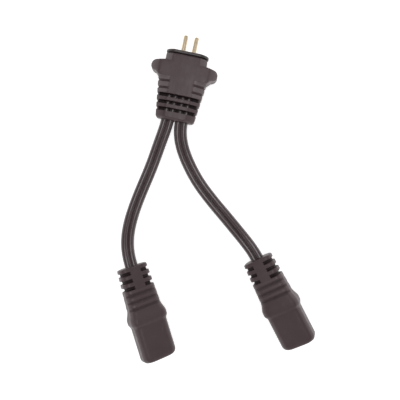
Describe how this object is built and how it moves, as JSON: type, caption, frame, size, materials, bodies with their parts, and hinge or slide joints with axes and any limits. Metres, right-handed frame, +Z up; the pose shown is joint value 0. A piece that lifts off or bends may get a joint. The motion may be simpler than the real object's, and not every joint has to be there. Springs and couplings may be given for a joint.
{
  "type": "y splitter cable",
  "caption": "Winged pin plug whose slotted boot splits into flat twin-lobe cables, each ending in a moulded socket with a ribbed strain relief, so that one outlet feeds more loads.",
  "frame": {"origin": "centre of the plug's mating face, midway between its pins", "axes": "+Y out of the mating face along the pins, +Z up from the table that the cable lies on, +X to the right seen from above with the pins pointing up"},
  "size_m": [0.0956, 0.1467, 0.0154],
  "materials": {
    "sleeve": "soft black PVC overmould, satin with a fine grain",
    "insert": "hard black moulded carrier",
    "jacket": "smooth black PVC cord jacket",
    "brass": "turned brass, plated pale",
    "copper": "bare copper strands"
  },
  "bodies": {
    "root": {"plug_overmould": "sleeve", "pin_carrier": "insert", "negative_pin": "brass", "positive_pin": "brass", "left_cable_negative_tail": "copper", "left_cable_positive_tail": "copper", "left_cable": "jacket", "left_socket_overmould": "sleeve", "left_contact_carrier": "insert", "left_negative_contact": "brass", "left_positive_contact": "brass", "left_socket_negative_tail": "copper", "left_socket_positive_tail": "copper", "right_cable_negative_tail": "copper", "right_cable_positive_tail": "copper", "right_cable": "jacket", "right_socket_overmould": "sleeve", "right_contact_carrier": "insert", "right_negative_contact": "brass", "right_positive_contact": "brass", "right_socket_negative_tail": "copper", "right_socket_positive_tail": "copper"}
  },
  "joints": []
}
